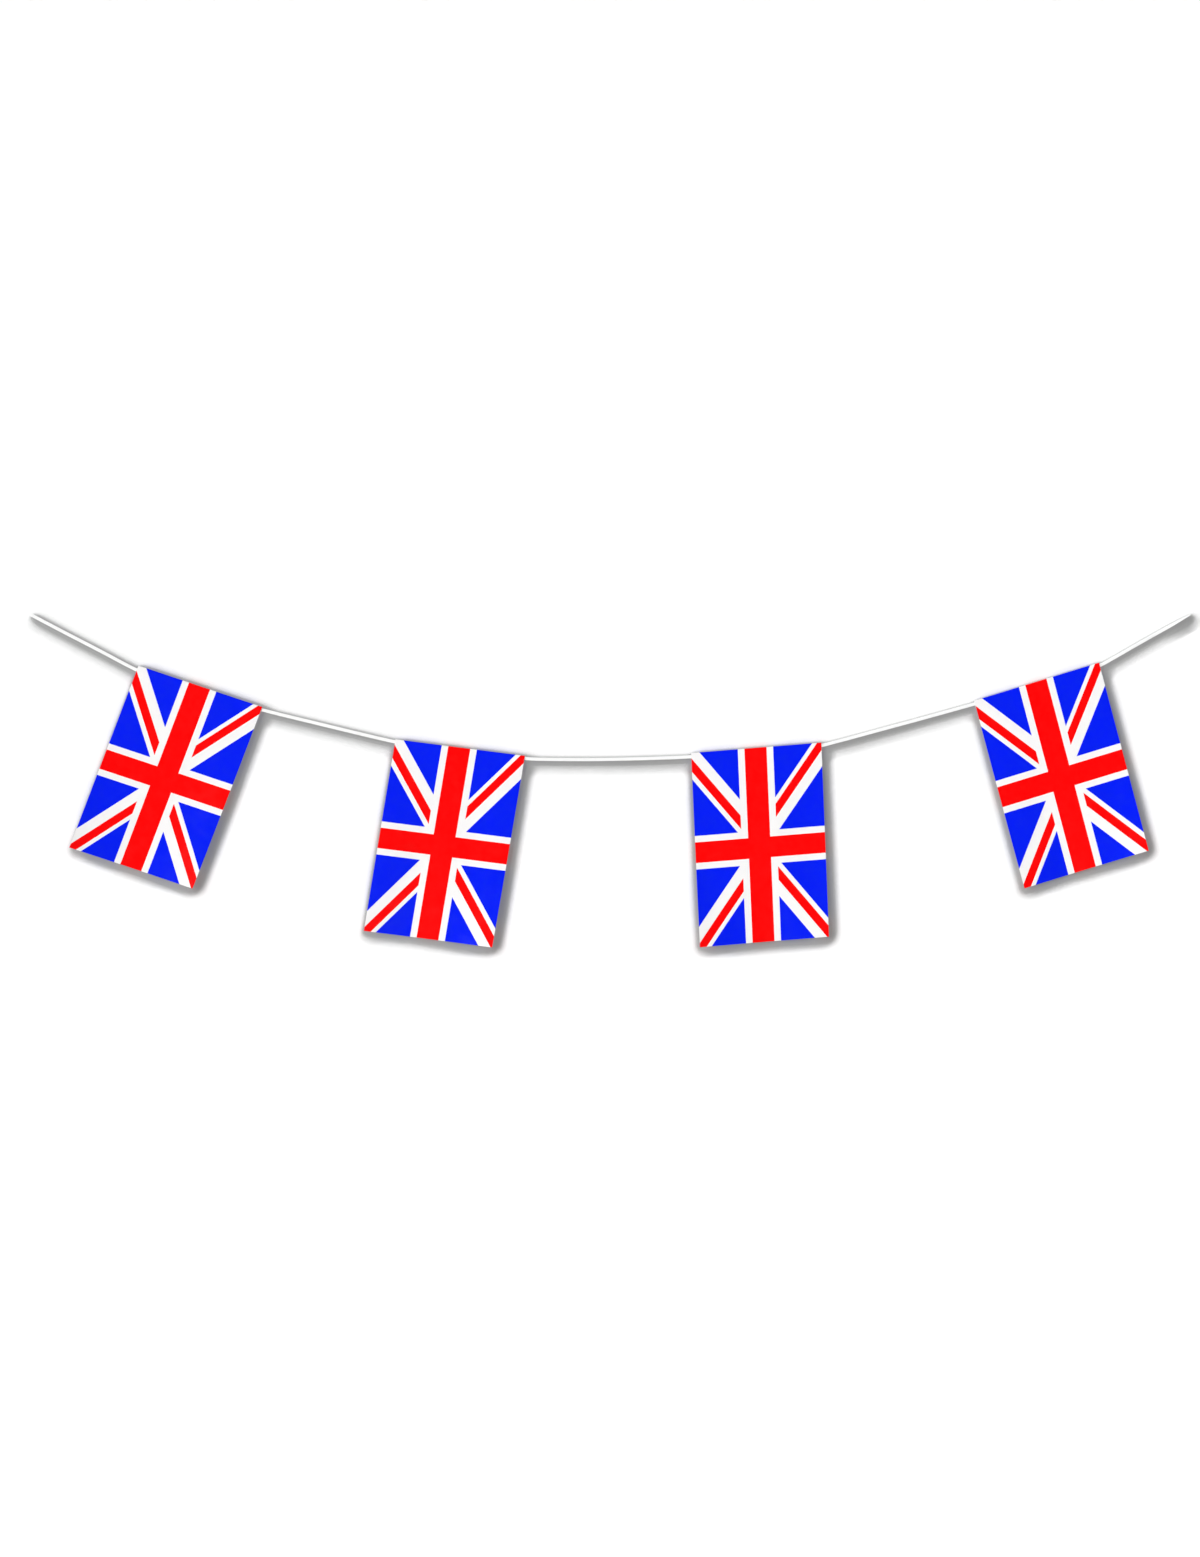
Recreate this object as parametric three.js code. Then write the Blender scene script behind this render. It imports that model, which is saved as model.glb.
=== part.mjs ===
// Plastic flag bunting: four printed film flags on one flat tape. The top of each flag is folded
// back over the tape and welded to itself, which makes the sleeve that the tape runs through.
// Millimetres, +X to the right, +Y away from the viewer, +Z up. The origin is the middle of the
// tape's left end, where the bunting is tied up.

import * as THREE from "three";

// Film
const FILM = 1; // thickness of one layer of film
const FLAG_WIDTH = 200;
const FLAG_DROP = 298; // from the fold down to the foot
const OUT_OF_SQUARE = THREE.MathUtils.degToRad(2.2); // the foot drifts to the left
const DRAW_IN = 0.008; // share of its width that a curled foot loses

// Tape
const TAPE_WIDTH = 5;
const TAPE_THICKNESS = 1;
const TAPE_CHAMFER = { along: 1, through: 0.25 }; // of the section's four corners
const TAPE_STEPS = 80;
const END_CUT = 1.2; // how far each scissor cut runs off square
const END_TURN = { length: 55, angle: THREE.MathUtils.degToRad(65) }; // twist before the right end

// Sleeve: two layers around the tape, with a clear gap on each side of it
const GAP = 0.3;
const POCKET = TAPE_THICKNESS + 2 * GAP; // clear depth inside the sleeve
const POCKET_SIDE = 12; // the back layer hangs straight down to here
const WELD_TOP = 15; // then it closes on to the front layer
const HEM_EDGE = 21; // cut edge of the folded film, below the weld
const FOLD_SEGMENTS = 8;

// Steps of a flag's mesh
const ROWS = 10;
const COLUMNS = 12;

const TAPE_BEHIND = FILM / 2 + POCKET / 2; // from the middle of the front layer to that of the tape

// Each flag: the middle of its fold (x, z), how far its fold climbs to the right, and how its foot
// hangs out of flat: swing moves it all back, curl moves both sides back, turn moves the right side
// back and the left side forward.
const FLAGS = [
  { name: "flag_1", x: 260.8, z: -109.8, climb: -18.5, swing: -2, curl: -8, turn: 2 },
  { name: "flag_2", x: 659.0, z: -203.7, climb: -7.3, swing: 2, curl: -6, turn: -3 },
  { name: "flag_3", x: 1112.7, z: -204.1, climb: 4.6, swing: -1, curl: -5, turn: 3 },
  { name: "flag_4", x: 1542.4, z: -102.8, climb: 17.0, swing: 2, curl: -7, turn: -2 },
];

// The tape's middle line from the left end to the right one (x, z)
const TAPE_ROUTE = [
  [0, 0],
  [46, -24.2],
  [107, -55.8],
  [150, -78.6],
  [168, -87.2],
  [190, -94.4],
  [260.8, -116.6],
  [330, -138.4],
  [356, -146.3],
  [378, -152.0],
  [430, -164.6],
  [490, -179.2],
  [538, -190.6],
  [560, -195.3],
  [585, -199.0],
  [659, -208.5],
  [735, -218.0],
  [760, -220.9],
  [790, -222.0],
  [873, -222.2],
  [950, -220.6],
  [995, -219.0],
  [1013, -218.0],
  [1040, -215.9],
  [1112.7, -209.8],
  [1190, -202.9],
  [1213, -200.6],
  [1235, -195.2],
  [1300, -177.6],
  [1360, -161.4],
  [1420, -144.8],
  [1447, -137.2],
  [1470, -130.2],
  [1542.4, -108.0],
  [1615, -85.9],
  [1638, -78.8],
  [1660, -67.0],
  [1700, -44.1],
  [1740, -21.6],
  [1778.5, 0],
];

// Blue is the ground of the print, which its red and white crosses lie on
function filmMaterial() {
  return new THREE.MeshStandardMaterial({ color: 0x011cf0, roughness: 0.4, metalness: 0 });
}

function tapeMaterial() {
  return new THREE.MeshStandardMaterial({ color: 0xf7f7f5, roughness: 0.7, metalness: 0 });
}

// The sleeve stays flat on the tape, and the film leaves that plane more and more towards its foot.
function fallShare(z) {
  const fall = THREE.MathUtils.clamp((-z - HEM_EDGE) / (FLAG_DROP - HEM_EDGE), 0, 1);
  return fall * fall;
}

// How far the film's sides stand behind its middle, at x across and z below the fold
function filmCurl(flag, x, z) {
  const side = x / (FLAG_WIDTH / 2);
  return fallShare(z) * (flag.curl * side * side + flag.turn * side);
}

// Section down a flag's middle, front on the left, with the fold on top and the foot at the bottom
function flagSection(flag) {
  const front = -FILM / 2;
  const back = FILM / 2;
  const foldOuter = POCKET / 2 + FILM;
  const foldInner = POCKET / 2;
  const foldHeight = -foldOuter;
  const flapOuter = back + POCKET + FILM;
  const rowStep = (FLAG_DROP - HEM_EDGE) / ROWS;

  const outline = new THREE.Shape();
  outline.moveTo(front + flag.swing, -FLAG_DROP);
  for (let row = ROWS - 1; row >= 0; row--) {
    const z = -HEM_EDGE - row * rowStep;
    outline.lineTo(front + flag.swing * fallShare(z), z);
  }
  outline.lineTo(front, foldHeight);
  outline.absarc(TAPE_BEHIND, foldHeight, foldOuter, Math.PI, 0, true);
  outline.lineTo(flapOuter, -POCKET_SIDE);
  outline.lineTo(back + FILM, -WELD_TOP);
  outline.lineTo(back + FILM, -HEM_EDGE);
  for (let row = 0; row <= ROWS; row++) {
    const z = -HEM_EDGE - row * rowStep;
    outline.lineTo(back + flag.swing * fallShare(z), z);
  }
  outline.closePath();

  const pocket = new THREE.Path();
  pocket.moveTo(back, -WELD_TOP);
  pocket.lineTo(back + POCKET, -POCKET_SIDE);
  pocket.lineTo(back + POCKET, foldHeight);
  pocket.absarc(TAPE_BEHIND, foldHeight, foldInner, 0, Math.PI, false);
  pocket.closePath();
  outline.holes.push(pocket);
  return outline;
}

function makeFlag(flag) {
  const geometry = new THREE.ExtrudeGeometry(flagSection(flag), {
    depth: FLAG_WIDTH,
    steps: COLUMNS,
    curveSegments: FOLD_SEGMENTS,
    bevelEnabled: false,
  });
  const axisX = new THREE.Vector3(1, 0, 0);
  const axisY = new THREE.Vector3(0, 1, 0);
  const axisZ = new THREE.Vector3(0, 0, 1);
  geometry.applyMatrix4(new THREE.Matrix4().makeBasis(axisY, axisZ, axisX));
  geometry.translate(-FLAG_WIDTH / 2, 0, 0);

  const position = geometry.attributes.position;
  for (let i = 0; i < position.count; i++) {
    const x = position.getX(i);
    const z = position.getZ(i);
    position.setY(i, position.getY(i) + filmCurl(flag, x, z));
    position.setX(i, x * (1 - DRAW_IN * fallShare(z)) + z * Math.tan(OUT_OF_SQUARE));
  }
  geometry.computeVertexNormals();

  const mesh = new THREE.Mesh(geometry, filmMaterial());
  mesh.name = flag.name;
  mesh.position.set(flag.x, -TAPE_BEHIND, flag.z);
  mesh.rotation.y = -THREE.MathUtils.degToRad(flag.climb);
  return mesh;
}

// The tape's section: a flat strip with its four corners taken off
function tapeSection() {
  const w = TAPE_WIDTH / 2;
  const t = TAPE_THICKNESS / 2;
  const { along, through } = TAPE_CHAMFER;
  const outline = new THREE.Shape();
  outline.moveTo(-w, -t + through);
  outline.lineTo(-w + along, -t);
  outline.lineTo(w - along, -t);
  outline.lineTo(w, -t + through);
  outline.lineTo(w, t - through);
  outline.lineTo(w - along, t);
  outline.lineTo(-w + along, t);
  outline.lineTo(-w, t - through);
  outline.closePath();
  return outline;
}

// A straight strip, laid along the route. Its face stays square to the viewer, except before the
// right end, where it turns on its own length.
function makeTape() {
  const points = TAPE_ROUTE.map(([x, z]) => new THREE.Vector3(x, 0, z));
  const route = new THREE.CatmullRomCurve3(points, false, "centripetal");
  route.arcLengthDivisions = 2000;
  const length = route.getLength();

  const geometry = new THREE.ExtrudeGeometry(tapeSection(), {
    depth: length,
    steps: TAPE_STEPS,
    bevelEnabled: false,
  });
  const position = geometry.attributes.position;
  const depthAxis = new THREE.Vector3(0, -1, 0);
  for (let i = 0; i < position.count; i++) {
    const run = THREE.MathUtils.clamp(position.getZ(i), 0, length);
    const tangent = route.getTangentAt(run / length);
    const across = new THREE.Vector3(-tangent.z, 0, tangent.x);
    const turned = THREE.MathUtils.smoothstep(run, length - END_TURN.length, length);
    const angle = turned * END_TURN.angle;
    const widthAxis = across.clone().multiplyScalar(Math.cos(angle));
    widthAxis.addScaledVector(depthAxis, -Math.sin(angle));
    const throughAxis = depthAxis.clone().multiplyScalar(Math.cos(angle));
    throughAxis.addScaledVector(across, Math.sin(angle));
    const isEnd = run === 0 || run === length;
    const cut = isEnd ? (END_CUT * position.getX(i)) / TAPE_WIDTH : 0;
    const point = route.getPointAt(run / length);
    point.addScaledVector(widthAxis, position.getX(i));
    point.addScaledVector(throughAxis, position.getY(i));
    point.addScaledVector(tangent, cut);
    position.setXYZ(i, point.x, point.y, point.z);
  }
  geometry.computeVertexNormals();

  const mesh = new THREE.Mesh(geometry, tapeMaterial());
  mesh.name = "tape";
  return mesh;
}

const bunting = new THREE.Group();
bunting.add(makeTape());
for (const flag of FLAGS) {
  bunting.add(makeFlag(flag));
}

export default bunting;
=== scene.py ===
"""Plastic flag bunting: four printed film flags that hang on one flat white tape.

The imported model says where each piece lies. This script makes the pieces that show, in metres and
in the same frame: +X to the right, +Y away from the viewer, +Z up, from the tape's left end.
"""

import math

import bmesh
import bpy
import numpy as np
from mathutils import Matrix, Vector, noise


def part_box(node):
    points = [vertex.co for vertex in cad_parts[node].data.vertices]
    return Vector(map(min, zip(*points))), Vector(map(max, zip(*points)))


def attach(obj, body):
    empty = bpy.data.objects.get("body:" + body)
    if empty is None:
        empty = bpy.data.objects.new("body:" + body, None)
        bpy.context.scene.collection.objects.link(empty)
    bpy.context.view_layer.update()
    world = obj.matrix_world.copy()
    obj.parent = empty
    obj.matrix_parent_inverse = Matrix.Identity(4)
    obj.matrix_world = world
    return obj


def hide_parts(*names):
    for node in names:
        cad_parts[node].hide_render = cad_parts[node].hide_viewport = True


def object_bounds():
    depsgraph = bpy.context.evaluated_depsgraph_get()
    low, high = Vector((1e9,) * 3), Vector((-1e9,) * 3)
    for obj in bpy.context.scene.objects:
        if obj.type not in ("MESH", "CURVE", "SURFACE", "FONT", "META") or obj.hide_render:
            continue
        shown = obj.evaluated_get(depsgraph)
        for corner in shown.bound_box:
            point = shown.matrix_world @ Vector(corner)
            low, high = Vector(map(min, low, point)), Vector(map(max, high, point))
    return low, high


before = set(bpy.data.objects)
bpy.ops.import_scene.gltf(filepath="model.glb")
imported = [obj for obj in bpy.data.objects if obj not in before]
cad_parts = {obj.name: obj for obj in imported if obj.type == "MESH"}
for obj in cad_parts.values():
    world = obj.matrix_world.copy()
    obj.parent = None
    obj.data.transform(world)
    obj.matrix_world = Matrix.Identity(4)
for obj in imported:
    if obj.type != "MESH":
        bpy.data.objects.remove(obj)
cad_low, cad_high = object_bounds()

# Camera. It stands square to the bunting and level with its middle, far enough back that the
# four flags look flat, in a tall frame that the bunting crosses.
CAMERA_LENS = 85
CAMERA_DISTANCE = 5.636
CAMERA_LEFT, CAMERA_UP = 0.0152, 0.0028  # from the middle of the bunting's box

middle = (cad_low + cad_high) / 2
camera = bpy.data.objects.new("camera", bpy.data.cameras.new("camera"))
camera.data.lens = CAMERA_LENS
camera.data.sensor_width = 36
camera.location = (middle.x - CAMERA_LEFT, -CAMERA_DISTANCE, middle.z + CAMERA_UP)
camera.rotation_euler = (math.pi / 2, 0, 0)
bpy.context.scene.collection.objects.link(camera)
bpy.context.scene.camera = camera

# Tape. One length of white woven polyester tape, 5 mm wide and bought by the reel, runs through
# the sleeves of all four flags. Its ends are cut with scissors and left plain, to be tied up.
MM = 0.001
TAPE_WIDTH = 5 * MM
TAPE_THICKNESS = 0.45 * MM
TAPE_STEP = 1.5 * MM
TAPE_RING = 14  # points round the tape's section
TAPE_SQUARENESS = 6  # 2 is an oval section, and more is squarer
TAPE_ROLL = math.radians(3)  # how far it leans, first one way and then the other
TAPE_ROLL_LENGTH = 0.31  # along the tape, until it leans the same way again
END_TURN_LENGTH = 55 * MM  # before the right end it turns on its own length
END_TURN = math.radians(65)
END_CUT = 1.2 * MM  # how far each cut runs off square
SHARP_EDGE = math.radians(60)  # faces that meet at more than this keep a crisp edge

POINTS_PER_SPAN = 24  # of the smooth line, between each two points of the route
TAPE_ROUTE = [  # x and z of its middle line, in millimetres
    (0, 0),
    (46, -24.2),
    (107, -55.8),
    (150, -78.6),
    (168, -87.2),
    (190, -94.4),
    (260.8, -116.6),
    (330, -138.4),
    (356, -146.3),
    (378, -152.0),
    (430, -164.6),
    (490, -179.2),
    (538, -190.6),
    (560, -195.3),
    (585, -199.0),
    (659, -208.5),
    (735, -218.0),
    (760, -220.9),
    (790, -222.0),
    (873, -222.2),
    (950, -220.6),
    (995, -219.0),
    (1013, -218.0),
    (1040, -215.9),
    (1112.7, -209.8),
    (1190, -202.9),
    (1213, -200.6),
    (1235, -195.2),
    (1300, -177.6),
    (1360, -161.4),
    (1420, -144.8),
    (1447, -137.2),
    (1470, -130.2),
    (1542.4, -108.0),
    (1615, -85.9),
    (1638, -78.8),
    (1660, -67.0),
    (1700, -44.1),
    (1740, -21.6),
    (1778.5, 0),
]


def smooth_line(points, per_span):
    """A centripetal Catmull-Rom curve through the points, with per_span points in each span."""
    before, after = 2 * points[0] - points[1], 2 * points[-1] - points[-2]
    padded = [before, *points, after]
    line = []
    for p0, p1, p2, p3 in zip(padded, padded[1:], padded[2:], padded[3:]):
        d0, d1, d2 = (np.linalg.norm(b - a) ** 0.5 for a, b in ((p0, p1), (p1, p2), (p2, p3)))
        leave = d1 * ((p1 - p0) / d0 - (p2 - p0) / (d0 + d1) + (p2 - p1) / d1)
        arrive = d1 * ((p2 - p1) / d1 - (p3 - p1) / (d1 + d2) + (p3 - p2) / d2)
        for t in np.arange(per_span) / per_span:
            turn = -3 * p1 + 3 * p2 - 2 * leave - arrive
            rest = 2 * p1 - 2 * p2 + leave + arrive
            line.append(p1 + leave * t + turn * t**2 + rest * t**3)
    return np.array(line + [points[-1]])


def evenly_spaced(line, step):
    """The same line with points step apart, and how far along it each one is."""
    run = np.concatenate([[0], np.cumsum(np.linalg.norm(np.diff(line, axis=0), axis=1))])
    at = np.linspace(0, run[-1], round(run[-1] / step) + 1)
    return np.stack([np.interp(at, run, line[:, k]) for k in range(3)], axis=1), at


def smooth_step(share):
    """0 up to 0, 1 from 1 on, and an even S between them."""
    share = np.clip(share, 0, 1)
    return share * share * (3 - 2 * share)


def srgb(colour):
    """An sRGB hex colour as the linear colour that a shader takes."""
    parts = [int(colour[i : i + 2], 16) / 255 for i in (1, 3, 5)]
    linear = [c / 12.92 if c <= 0.04045 else ((c + 0.055) / 1.055) ** 2.4 for c in parts]
    return (*linear, 1)


def add_node(tree, kind, inputs, **settings):
    """Adds a node with its settings. Each input is a value, or the output that is linked to it."""
    node = tree.nodes.new("ShaderNode" + kind)
    for name, value in settings.items():
        setattr(node, name, value)
    for name, value in inputs.items():
        if isinstance(value, bpy.types.NodeSocket):
            tree.links.new(value, node.inputs[name])
        else:
            node.inputs[name].default_value = value
    return node


def new_material(name):
    """A new material and its node tree, which is still empty."""
    material = bpy.data.materials.new(name)
    material.use_nodes = True
    material.node_tree.nodes.clear()
    return material, material.node_tree


def new_piece(name, mesh, nodes):
    """Puts a finished mesh in the scene, in place of its CAD solid."""
    piece = bpy.data.objects.new(name, mesh)
    bpy.context.scene.collection.objects.link(piece)
    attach(piece, "root")
    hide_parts(*nodes)
    return piece


def make_tape_mesh(line, run):
    """The tape along its line: rings of points joined by faces, and closed at both cut ends."""

    def corner(ring, k):
        return ring * TAPE_RING + k % TAPE_RING

    tangent = np.gradient(line, axis=0)
    tangent /= np.linalg.norm(tangent, axis=1)[:, None]
    across = np.stack([-tangent[:, 2], np.zeros(len(line)), tangent[:, 0]], axis=1)
    toward_viewer = np.array([0, -1, 0])
    turn = END_TURN * smooth_step((run - run[-1] + END_TURN_LENGTH) / END_TURN_LENGTH)
    angle = (turn + TAPE_ROLL * np.sin(2 * math.pi * run / TAPE_ROLL_LENGTH))[:, None]
    width_axis = across * np.cos(angle) - toward_viewer * np.sin(angle)
    depth_axis = toward_viewer * np.cos(angle) + across * np.sin(angle)

    around = 2 * math.pi * np.arange(TAPE_RING) / TAPE_RING
    squarer = 2 / TAPE_SQUARENESS
    w = TAPE_WIDTH / 2 * np.sign(np.cos(around)) * np.abs(np.cos(around)) ** squarer
    t = TAPE_THICKNESS / 2 * np.sign(np.sin(around)) * np.abs(np.sin(around)) ** squarer
    rings = line[:, None] + width_axis[:, None] * w[:, None] + depth_axis[:, None] * t[:, None]
    for end in (0, -1):
        rings[end] += tangent[end] * (END_CUT * w / TAPE_WIDTH)[:, None]

    mesh = bpy.data.meshes.new("woven_tape")
    faces = [
        (corner(i, k), corner(i, k + 1), corner(i + 1, k + 1), corner(i + 1, k))
        for i in range(len(line) - 1)
        for k in range(TAPE_RING)
    ]
    last = len(line) - 1
    faces.append([corner(0, k) for k in reversed(range(TAPE_RING))])
    faces.append([corner(last, k) for k in range(TAPE_RING)])
    mesh.from_pydata(rings.reshape(-1, 3).tolist(), [], faces)

    # The weave follows the tape, so its pattern reads millimetres along it and across it
    weave = mesh.uv_layers.new(name="weave")
    for polygon in mesh.polygons:
        for loop in polygon.loop_indices:
            ring, k = divmod(mesh.loops[loop].vertex_index, TAPE_RING)
            weave.uv[loop].vector = (w[k] / MM, run[ring] / MM)
    mesh.shade_smooth()
    mesh.set_sharp_from_angle(angle=SHARP_EDGE)
    return mesh


def woven_polyester():
    """Woven polyester tape: matt white yarn, with painted shade that makes it a little greyer in
    the dips between its ribs.
    """
    rib = 0.9  # from one weft yarn to the next, drawn coarser than the real 0.5 mm so that it shows
    warp = 0.6  # from one warp yarn to the next
    specks_per_mm = 1.7  # of the yarn's uneven white
    material, tree = new_material("white_woven_polyester_tape")
    uv = add_node(tree, "UVMap", {}, uv_map="weave")
    place = add_node(tree, "SeparateXYZ", {"Vector": uv.outputs["UV"]})
    waves = []
    for axis, pitch in (("X", warp), ("Y", rib)):
        turn = add_node(
            tree,
            "Math",
            {0: place.outputs[axis], 1: math.pi / pitch},
            operation="MULTIPLY",
        )
        wave = add_node(tree, "Math", {0: turn.outputs[0]}, operation="SINE")
        waves.append(add_node(tree, "Math", {0: wave.outputs[0]}, operation="ABSOLUTE"))
    height = add_node(
        tree,
        "Math",
        {0: waves[0].outputs[0], 1: waves[1].outputs[0]},
        operation="MULTIPLY",
    )
    specks = add_node(
        tree, "TexNoise", {"Vector": uv.outputs["UV"], "Scale": specks_per_mm, "Detail": 3}
    )
    # painted shade: the colour goes greyer where the weave dips, where shade would fall
    yarn = add_node(
        tree,
        "Mix",
        {"Factor": height.outputs[0], 6: srgb("#F3F3F3"), 7: srgb("#FFFFFE")},
        data_type="RGBA",
    )
    uneven = add_node(
        tree,
        "Mix",
        {"Factor": 0.03, 6: yarn.outputs[2], 7: specks.outputs["Color"]},
        data_type="RGBA",
        blend_type="MULTIPLY",
    )
    bump = add_node(
        tree, "Bump", {"Height": height.outputs[0], "Strength": 0.5, "Distance": 0.12 * MM}
    )
    shader = add_node(
        tree,
        "BsdfPrincipled",
        {
            "Base Color": uneven.outputs[2],
            "Roughness": 0.72,
            "IOR": 1.57,
            "Sheen Weight": 0.15,
            "Sheen Roughness": 0.5,
            "Normal": bump.outputs[0],
        },
    )
    add_node(tree, "OutputMaterial", {"Surface": shader.outputs[0]})
    return material


route = np.array([(x * MM, 0, z * MM) for x, z in TAPE_ROUTE])
tape_line, tape_run = evenly_spaced(smooth_line(route, POINTS_PER_SPAN), TAPE_STEP)
tape_mesh = make_tape_mesh(tape_line, tape_run)
tape_mesh.materials.append(woven_polyester())
tape = new_piece("woven_tape", tape_mesh, ["tape"])

# Flags. Each is one piece of white polyethylene film, printed on its front in two inks. Its top is
# folded back over the tape and welded to itself 15 mm down, and a 3.5 mm edge stays loose behind.
FLAG_WIDTH = 200 * MM
FLAG_DROP = 298 * MM  # from the fold to the foot
FILM = 0.12 * MM
FOLD_RADIUS = 1.3 * MM
FOLD_START = -1.8 * MM  # where the front layer starts to bend
FOLD_LENGTH = math.pi * FOLD_RADIUS
FLAP_DROP = 19.2 * MM  # of the back layer, below the bend
SHEET_TOP = FOLD_START + FOLD_LENGTH + FLAP_DROP  # top edge of the flat sheet
TAPE_BEHIND = 1.3 * MM  # from the front layer to the middle of the tape

# Heights below the fold at which the back layer leaves the tape, meets the front, and is loose
POCKET_END, WELD_TOP, WELD_END = 10 * MM, 15 * MM, 17.5 * MM
HEM_EDGE = 21 * MM
LAYERS_APART = 0.14 * MM

# Puckers run out below the weld, the loose edge stands off the back, and the film waves a little
PUCKER_DEPTH, PUCKER_WIDTH, PUCKER_LENGTH = 0.22 * MM, 7 * MM, 40 * MM
PUCKER_GROWTH, PUCKER_FADE = 3 * MM, 14 * MM
LOOSE_LIFT, LOOSE_UNEVENNESS, LOOSE_WAVE = 0.45 * MM, 0.5 * MM, 23 * MM
WAVE_DEPTH, WAVE_ACROSS, WAVE_DOWN = 1.6 * MM, 55 * MM, 190 * MM
WAVE_START, WAVE_GROWTH = 10 * MM, 120 * MM  # below the weld
WAVE_SEED = 5  # a stretch of noise that no flag's puckers use

OUT_OF_SQUARE = math.radians(2.2)  # the foot drifts to the left
DRAW_IN = 0.008  # share of its width that a curled foot loses

# How far each fold climbs to the right, in degrees, and how its foot hangs out of flat, in mm:
# swing moves it all back, curl moves both sides back, turn moves the right side back and the
# left side forward.
FLAGS = [
    {"node": "flag_1", "climb": -18.5, "swing": -2, "curl": -8, "turn": 2},
    {"node": "flag_2", "climb": -7.3, "swing": 2, "curl": -6, "turn": -3},
    {"node": "flag_3", "climb": 4.6, "swing": -1, "curl": -5, "turn": 3},
    {"node": "flag_4", "climb": 17.0, "swing": 2, "curl": -7, "turn": -2},
]

# The print, measured from the middle of its cross: the crosses' half widths, and the saltire,
# whose arms are each a narrow white, a red and a broad white band. A band's edges are distances
# across the flag from the line through the middle, towards the clockwise side of the arm.
CROSS_MIDDLE = (-1.2 * MM, -153.5 * MM)  # across and down from the middle of the fold
CROSS_UPRIGHT = {"red": 17 * MM, "white": 27.1 * MM}
CROSS_LEVEL = {"red": 15.8 * MM, "white": 25.6 * MM}
SALTIRE_SLOPE = 0.767  # across for each step down
FALLING_ARMS = {"white": (-12.6 * MM, 31.2 * MM), "red": (-3.7 * MM, 12.3 * MM)}
RISING_ARMS = {"white": (-30.2 * MM, 11.6 * MM), "red": (-22.6 * MM, -7.2 * MM)}
INKS = ["red", "white", "blue"]

CUT_SNAP = 0.002 * MM  # a cut that passes this close to a point goes through it
COLUMN_STEP = 2 * MM
ROW_STEPS = [  # how far up the sheet each step size goes, from the foot
    (-40 * MM, 3.5 * MM),
    (FOLD_START, 1.1 * MM),
    (FOLD_START + FOLD_LENGTH, FOLD_LENGTH / 12),
    (SHEET_TOP, 0.8 * MM),
]


def arm_bands(right, up):
    """The bands of the saltire's arm on those sides of the cross, where each side is 1 or -1."""
    return RISING_ARMS if right == up else FALLING_ARMS


def ink_at(x, y):
    """The ink at a point of the flat sheet, from the middle of the fold."""
    across, above = x - CROSS_MIDDLE[0], y - CROSS_MIDDLE[1]
    if abs(across) < CROSS_UPRIGHT["red"] or abs(above) < CROSS_LEVEL["red"]:
        return "red"
    if abs(across) < CROSS_UPRIGHT["white"] or abs(above) < CROSS_LEVEL["white"]:
        return "white"
    right, up = (1 if across > 0 else -1), (1 if above > 0 else -1)
    bands = arm_bands(right, up)
    clockwise = (across - right * SALTIRE_SLOPE * abs(above)) * up
    for ink in ("red", "white"):
        if bands[ink][0] < clockwise < bands[ink][1]:
            return ink
    return "blue"


def cut_sheet(sheet, faces, point, normal):
    """Cuts those faces of the sheet along a line, so that two inks can meet on it."""
    edges = {e for f in faces for e in f.edges}
    verts = {v for f in faces for v in f.verts}
    bmesh.ops.bisect_plane(
        sheet,
        geom=[*verts, *edges, *faces],
        dist=CUT_SNAP,
        plane_co=(*point, 0),
        plane_no=(*normal, 0),
    )


def printed_sheet():
    """The flat sheet with a face edge along each line of the print, and an ink for each face."""
    ups = [-FLAG_DROP]
    for top, step in ROW_STEPS:
        count = max(1, round((top - ups[-1]) / step))
        ups += list(np.linspace(ups[-1], top, count + 1)[1:])
    acrosses = np.linspace(-FLAG_WIDTH / 2, FLAG_WIDTH / 2, round(FLAG_WIDTH / COLUMN_STEP) + 1)
    sheet = bmesh.new()
    rows = [[sheet.verts.new((x, y, 0)) for x in acrosses] for y in ups]
    for low, high in zip(rows, rows[1:]):
        for i in range(len(acrosses) - 1):
            sheet.faces.new((low[i], low[i + 1], high[i + 1], high[i]))

    x0, y0 = CROSS_MIDDLE
    for ink in ("red", "white"):
        for side in (-1, 1):
            cut_sheet(sheet, sheet.faces[:], (x0 + side * CROSS_UPRIGHT[ink], y0), (1, 0))
            cut_sheet(sheet, sheet.faces[:], (x0, y0 + side * CROSS_LEVEL[ink]), (0, 1))
    for right in (-1, 1):
        for up in (-1, 1):
            bands = arm_bands(right, up)
            for edge in (*bands["white"], *bands["red"]):
                field = []
                for face in sheet.faces:
                    x, y, _ = face.calc_center_median()
                    beside = (x - x0) * right > CROSS_UPRIGHT["white"]
                    if beside and (y - y0) * up > CROSS_LEVEL["white"]:
                        field.append(face)
                slant = right * up * SALTIRE_SLOPE
                cut_sheet(sheet, field, (x0 + edge * up, y0), (1, -slant))
    for face in sheet.faces:
        x, y, _ = face.calc_center_median()
        face.material_index = INKS.index(ink_at(x, y))
    return sheet


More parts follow.
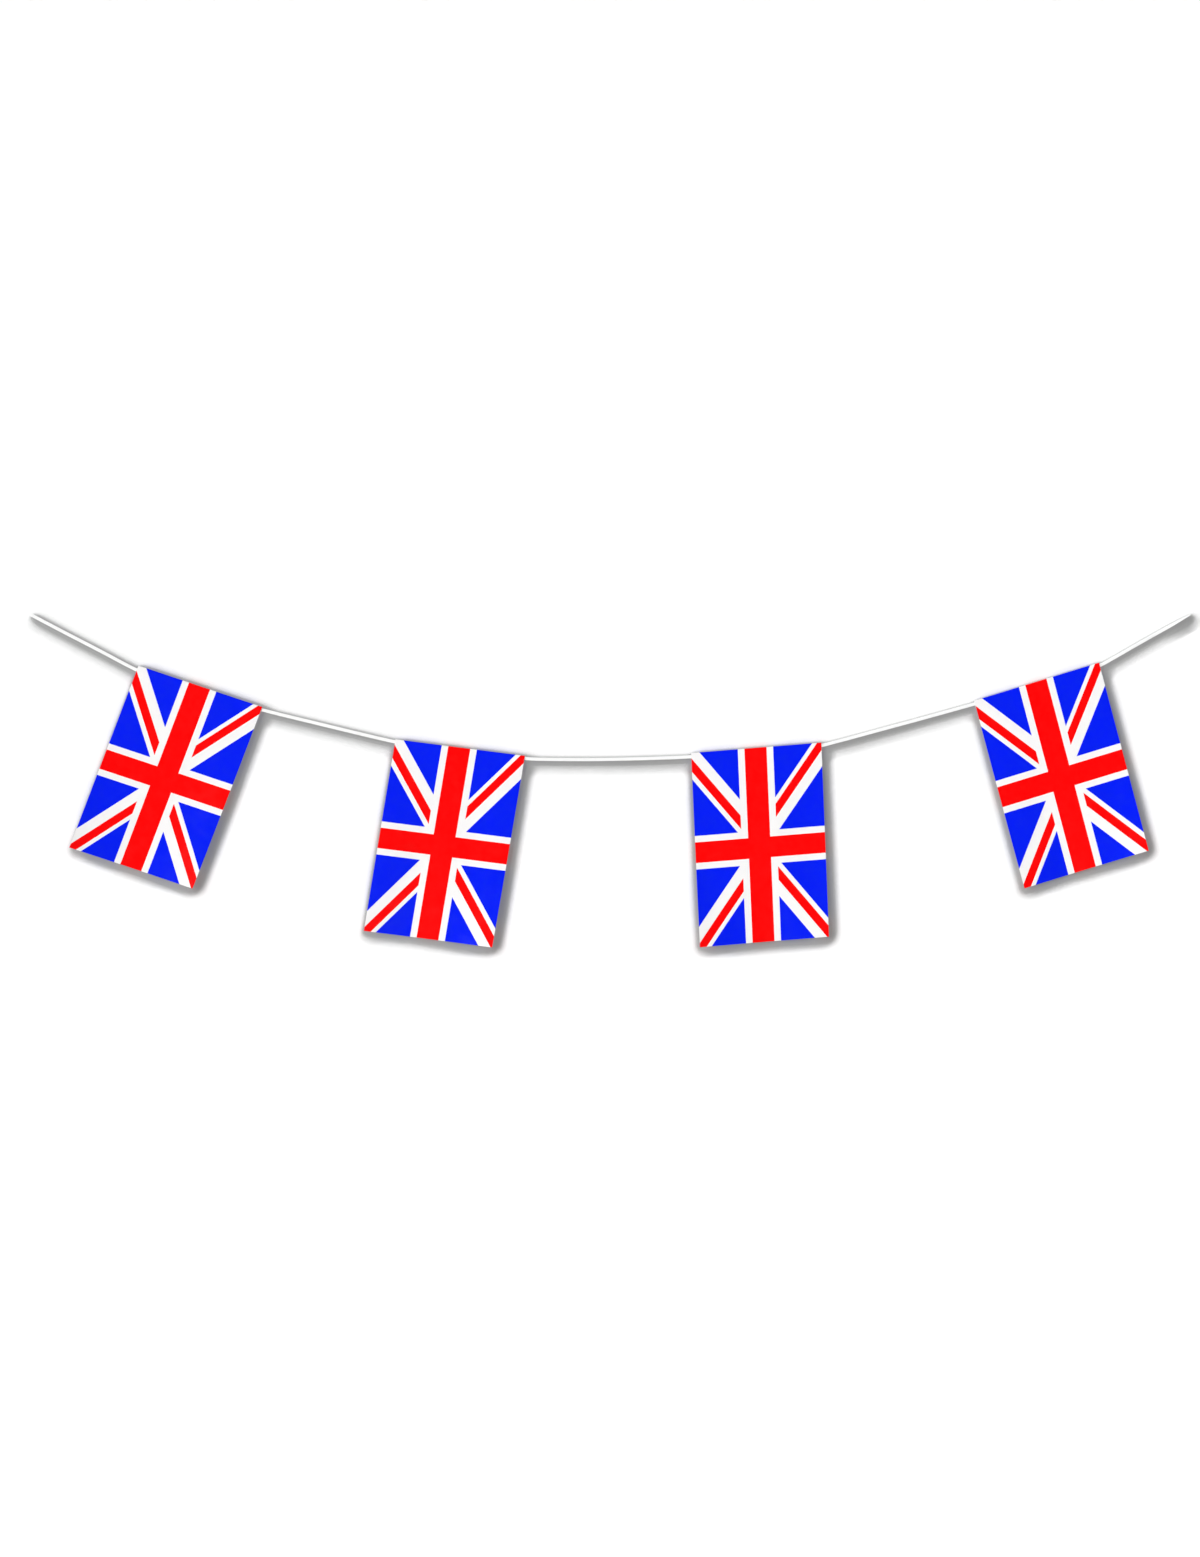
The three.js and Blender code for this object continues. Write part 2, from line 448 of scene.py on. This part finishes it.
def hang(flag, seed, x, y):
    """Where a point of the flat sheet hangs, with the flag's fold level and its middle at 0."""
    if y < FOLD_START:
        back, up = 0, y
    elif y < FOLD_START + FOLD_LENGTH:
        angle = (y - FOLD_START) / FOLD_RADIUS
        back = FOLD_RADIUS * (1 - math.cos(angle))
        up = FOLD_START + FOLD_RADIUS * math.sin(angle)
    else:
        up = 2 * FOLD_START + FOLD_LENGTH - y
        close = smooth_step((-up - POCKET_END) / (WELD_TOP - POCKET_END))
        back = 2 * FOLD_RADIUS + (LAYERS_APART - 2 * FOLD_RADIUS) * close
        loose = max(0, (-up - WELD_END) / (HEM_EDGE - WELD_END))
        lift = LOOSE_LIFT + LOOSE_UNEVENNESS * noise.noise((x / LOOSE_WAVE, seed, 0))
        back += lift * loose * loose

    below = max(0, -y - WELD_END)
    pucker = noise.noise((x / PUCKER_WIDTH, below / PUCKER_LENGTH, seed))
    back += PUCKER_DEPTH * pucker * min(1, below / PUCKER_GROWTH) * math.exp(-below / PUCKER_FADE)
    fall = min(1, max(0, (-up - HEM_EDGE) / (FLAG_DROP - HEM_EDGE))) ** 2
    side = x / (FLAG_WIDTH / 2)
    back += fall * MM * (flag["swing"] + flag["curl"] * side**2 + flag["turn"] * side)
    wave = noise.noise((x / WAVE_ACROSS, y / WAVE_DOWN, seed + WAVE_SEED))
    back += WAVE_DEPTH * wave * smooth_step((below - WAVE_START) / WAVE_GROWTH)
    x = x * (1 - DRAW_IN * fall) + up * math.tan(OUT_OF_SQUARE)
    return Vector((x, back, up))


def make_flag_mesh(flag, seed):
    """The printed sheet as it hangs, as thick as the film, with its place in the frame."""
    sheet = printed_sheet()
    print_place = sheet.loops.layers.uv.new("print")
    for face in sheet.faces:
        for loop in face.loops:
            loop[print_place].uv = loop.vert.co.xy / MM
    for vert in sheet.verts:
        vert.co = hang(flag, seed, vert.co.x, vert.co.y)
    sheet.transform(Matrix.Rotation(-math.radians(flag["climb"]), 4, "Y"))
    mesh = bpy.data.meshes.new("sheet")
    sheet.to_mesh(mesh)
    sheet.free()

    corners = np.array([v.co for v in mesh.vertices])
    low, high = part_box(flag["node"])
    shift = (low + high) / 2 - Vector(corners.min(axis=0) + corners.max(axis=0)) / 2
    shift.y = -TAPE_BEHIND
    mesh.transform(Matrix.Translation(shift))

    for material in film_materials:
        mesh.materials.append(material)
    single = bpy.data.objects.new("single", mesh)
    bpy.context.scene.collection.objects.link(single)
    layer = single.modifiers.new("film", "SOLIDIFY")
    layer.thickness = FILM
    layer.offset = 0
    layer.material_offset = len(INKS)
    shown = single.evaluated_get(bpy.context.evaluated_depsgraph_get())
    film = bpy.data.meshes.new_from_object(shown)
    bpy.data.objects.remove(single)
    film.name = flag["node"] + "_film"
    film.shade_smooth()
    film.set_sharp_from_angle(angle=SHARP_EDGE)
    return film


def printed_film(name, colour, thin_colour, roughness):
    """Polyethylene film with flexographic ink: even, strong colour with the soft shine of thin
    plastic, a little cloudy where the ink is thin, over the faint ripples of blown film."""
    cloud = 9 * MM
    ripple = 16 * MM
    grain = 1.5 * MM  # of the ink's surface, drawn coarser than the real 0.2 mm so that it shows
    material, tree = new_material(name)
    place = add_node(tree, "TexCoord", {}).outputs["Object"]
    clouds = add_node(tree, "TexNoise", {"Vector": place, "Scale": 1 / cloud, "Detail": 4})
    thinness = add_node(
        tree,
        "MapRange",
        {"Value": clouds.outputs[0], "From Min": 0.4, "From Max": 0.75, "To Max": 0.35},
    )
    colours = add_node(
        tree,
        "Mix",
        {"Factor": thinness.outputs[0], 6: srgb(colour), 7: srgb(thin_colour)},
        data_type="RGBA",
    )
    ripples = add_node(tree, "TexNoise", {"Vector": place, "Scale": 1 / ripple, "Detail": 0})
    grains = add_node(tree, "TexNoise", {"Vector": place, "Scale": 1 / grain, "Detail": 2})
    rough = add_node(
        tree,
        "MapRange",
        {
            "Value": ripples.outputs[0],
            "From Min": 0.3,
            "From Max": 0.7,
            "To Min": roughness - 0.02,
            "To Max": roughness + 0.03,
        },
    )
    broad = add_node(
        tree, "Bump", {"Height": ripples.outputs[0], "Strength": 0.15, "Distance": 0.3 * MM}
    )
    fine = add_node(
        tree,
        "Bump",
        {
            "Height": grains.outputs[0],
            "Strength": 0.2,
            "Distance": 0.02 * MM,
            "Normal": broad.outputs[0],
        },
    )
    shader = add_node(
        tree,
        "BsdfPrincipled",
        {
            "Base Color": colours.outputs[2],
            "Roughness": rough.outputs[0],
            "IOR": 1.5,
            "Normal": fine.outputs[0],
        },
    )
    add_node(tree, "OutputMaterial", {"Surface": shader.outputs[0]})
    return material


# The front of each ink, then the same inks seen through the back of the film, paler and duller
film_materials = [
    printed_film("red_ink_on_polyethylene_film", "#FD0102", "#FA1410", 0.15),
    printed_film("bare_white_polyethylene_film", "#F6F4F4", "#F2F1F1", 0.15),
    printed_film("blue_ink_on_polyethylene_film", "#011CF0", "#0A2AE6", 0.15),
    printed_film("red_ink_seen_through_the_film", "#F02A2E", "#EC4246", 0.2),
    printed_film("white_film_from_behind", "#F6F6F6", "#EEEEEF", 0.2),
    printed_film("blue_ink_seen_through_the_film", "#2A44E4", "#4058DE", 0.2),
]
for seed, flag in enumerate(FLAGS):
    piece = new_piece(
        "printed_" + flag["node"], make_flag_mesh(flag, seed), [flag["node"]]
    )

# Studio. A white wall close behind the bunting takes its soft shadow, partly cast by the key lamp
# and partly painted into the wall's colour, in a round pale room. One broad lamp shines from the
# upper left, and a weaker one lights the backs of the flags.
WALL_BEHIND = 7 * MM
WALL_WIDTH, WALL_TOP = 3.0, 1.3
FLOOR_BELOW = 1.5
ROOM_RADIUS = 9
SHADOW_REACH = 27 * MM
SHADOW_FROM = (-1, -1, 1.5)  # the side that the painted soft shadow falls from
SHADOW_FULL, SHADOW_NONE = 0.91, 1.0  # shares of the room that a place sees, where the painted shadow is full and where it ends

scene = bpy.context.scene
scene.view_settings.view_transform = "Standard"


def stage_piece(name, form, material):
    """Puts a finished form in the scene as a part of the studio, which casts no shadow."""
    mesh = bpy.data.meshes.new(name)
    form.to_mesh(mesh)
    form.free()
    mesh.materials.append(material)
    piece = bpy.data.objects.new(name, mesh)
    scene.collection.objects.link(piece)
    piece.visible_shadow = False
    return piece


def painted_wall():
    """Matt white paint with a painted soft shadow, darker close to what hangs before it, and clear
    from behind.
    """
    material, tree = new_material("matt_white_paint_with_painted_shadow")
    x, y, z = Vector(SHADOW_FROM).normalized()
    toward_light = add_node(tree, "CombineXYZ", {"X": x, "Y": y, "Z": z})
    # painted shadow: ambient occlusion towards SHADOW_FROM darkens the paint's colour, as a soft
    # drop shadow would
    close = add_node(
        tree,
        "AmbientOcclusion",
        {"Distance": SHADOW_REACH, "Normal": toward_light.outputs[0]},
        samples=32,
    )
    out_of_painted_shadow = add_node(
        tree,
        "MapRange",
        {"Value": close.outputs["AO"], "From Min": SHADOW_FULL, "From Max": SHADOW_NONE},
        interpolation_type="SMOOTHSTEP",
    )
    # the painted shadow's grey, mixed into the paint's white
    shade = add_node(
        tree,
        "Mix",
        {"Factor": out_of_painted_shadow.outputs[0], 6: srgb("#7C7C7C"), 7: srgb("#ECECEC")},
        data_type="RGBA",
    )
    paint = add_node(
        tree,
        "BsdfPrincipled",
        {
            "Base Color": shade.outputs[2],
            "Roughness": 1,
            "Specular IOR Level": 0,
            "Emission Color": srgb("#FFFFFF"),
            "Emission Strength": 0.15,
        },
    )
    clear = add_node(tree, "BsdfTransparent", {})
    side = add_node(tree, "NewGeometry", {}).outputs["Backfacing"]
    shader = add_node(tree, "MixShader", {0: side, 1: paint.outputs[0], 2: clear.outputs[0]})
    add_node(tree, "OutputMaterial", {"Surface": shader.outputs[0]})
    return material


def pale_floor():
    """Matt pale vinyl."""
    material, tree = new_material("pale_matt_floor")
    shader = add_node(tree, "BsdfDiffuse", {"Color": srgb("#F4F4F3")})
    add_node(tree, "OutputMaterial", {"Surface": shader.outputs[0]})
    return material


def lit_backdrop():
    """A pale cloth all round the room, evenly lit."""
    material, tree = new_material("lit_pale_backdrop")
    shader = add_node(tree, "Emission", {"Color": srgb("#F0F0F0")})
    add_node(tree, "OutputMaterial", {"Surface": shader.outputs[0]})
    return material


def add_lamp(name, strength, softness, toward):
    """A broad, far lamp. Its softness is how wide it looks, in degrees."""
    lamp = bpy.data.objects.new(name, bpy.data.lights.new(name, "SUN"))
    lamp.data.energy = strength
    lamp.data.angle = math.radians(softness)
    lamp.rotation_euler = Vector(toward).to_track_quat("-Z", "Y").to_euler()
    scene.collection.objects.link(lamp)


floor_z = middle.z - FLOOR_BELOW
panel = bmesh.new()
left, right = middle.x - WALL_WIDTH / 2, middle.x + WALL_WIDTH / 2
for x, z in ((left, floor_z), (right, floor_z), (right, WALL_TOP), (left, WALL_TOP)):
    panel.verts.new((x, WALL_BEHIND, z))
panel.faces.new(panel.verts)
wall = stage_piece("wall", panel, painted_wall())

room_middle = Matrix.Translation((middle.x, 0, floor_z))
disc = bmesh.new()
bmesh.ops.create_circle(
    disc, cap_ends=True, segments=96, radius=ROOM_RADIUS, matrix=room_middle
)
stage_piece("floor", disc, pale_floor())

dome = bmesh.new()
bmesh.ops.create_uvsphere(
    dome, u_segments=96, v_segments=48, radius=ROOM_RADIUS, matrix=room_middle
)
backdrop = stage_piece("backdrop", dome, lit_backdrop())
backdrop.visible_glossy = False
for shown_only in (wall, backdrop):
    shown_only.visible_diffuse = False  # it is seen, and lights nothing

add_lamp("key_lamp", strength=3.6, softness=50, toward=(0.95, 1, -0.5))
add_lamp("back_lamp", strength=2.6, softness=60, toward=(-0.5, -1, -0.6))
scene.world = bpy.data.worlds.new("room")
scene.world.use_nodes = True
room_light = scene.world.node_tree.nodes["Background"]
room_light.inputs["Color"].default_value = srgb("#FFFFFF")
room_light.inputs["Strength"].default_value = 0.04
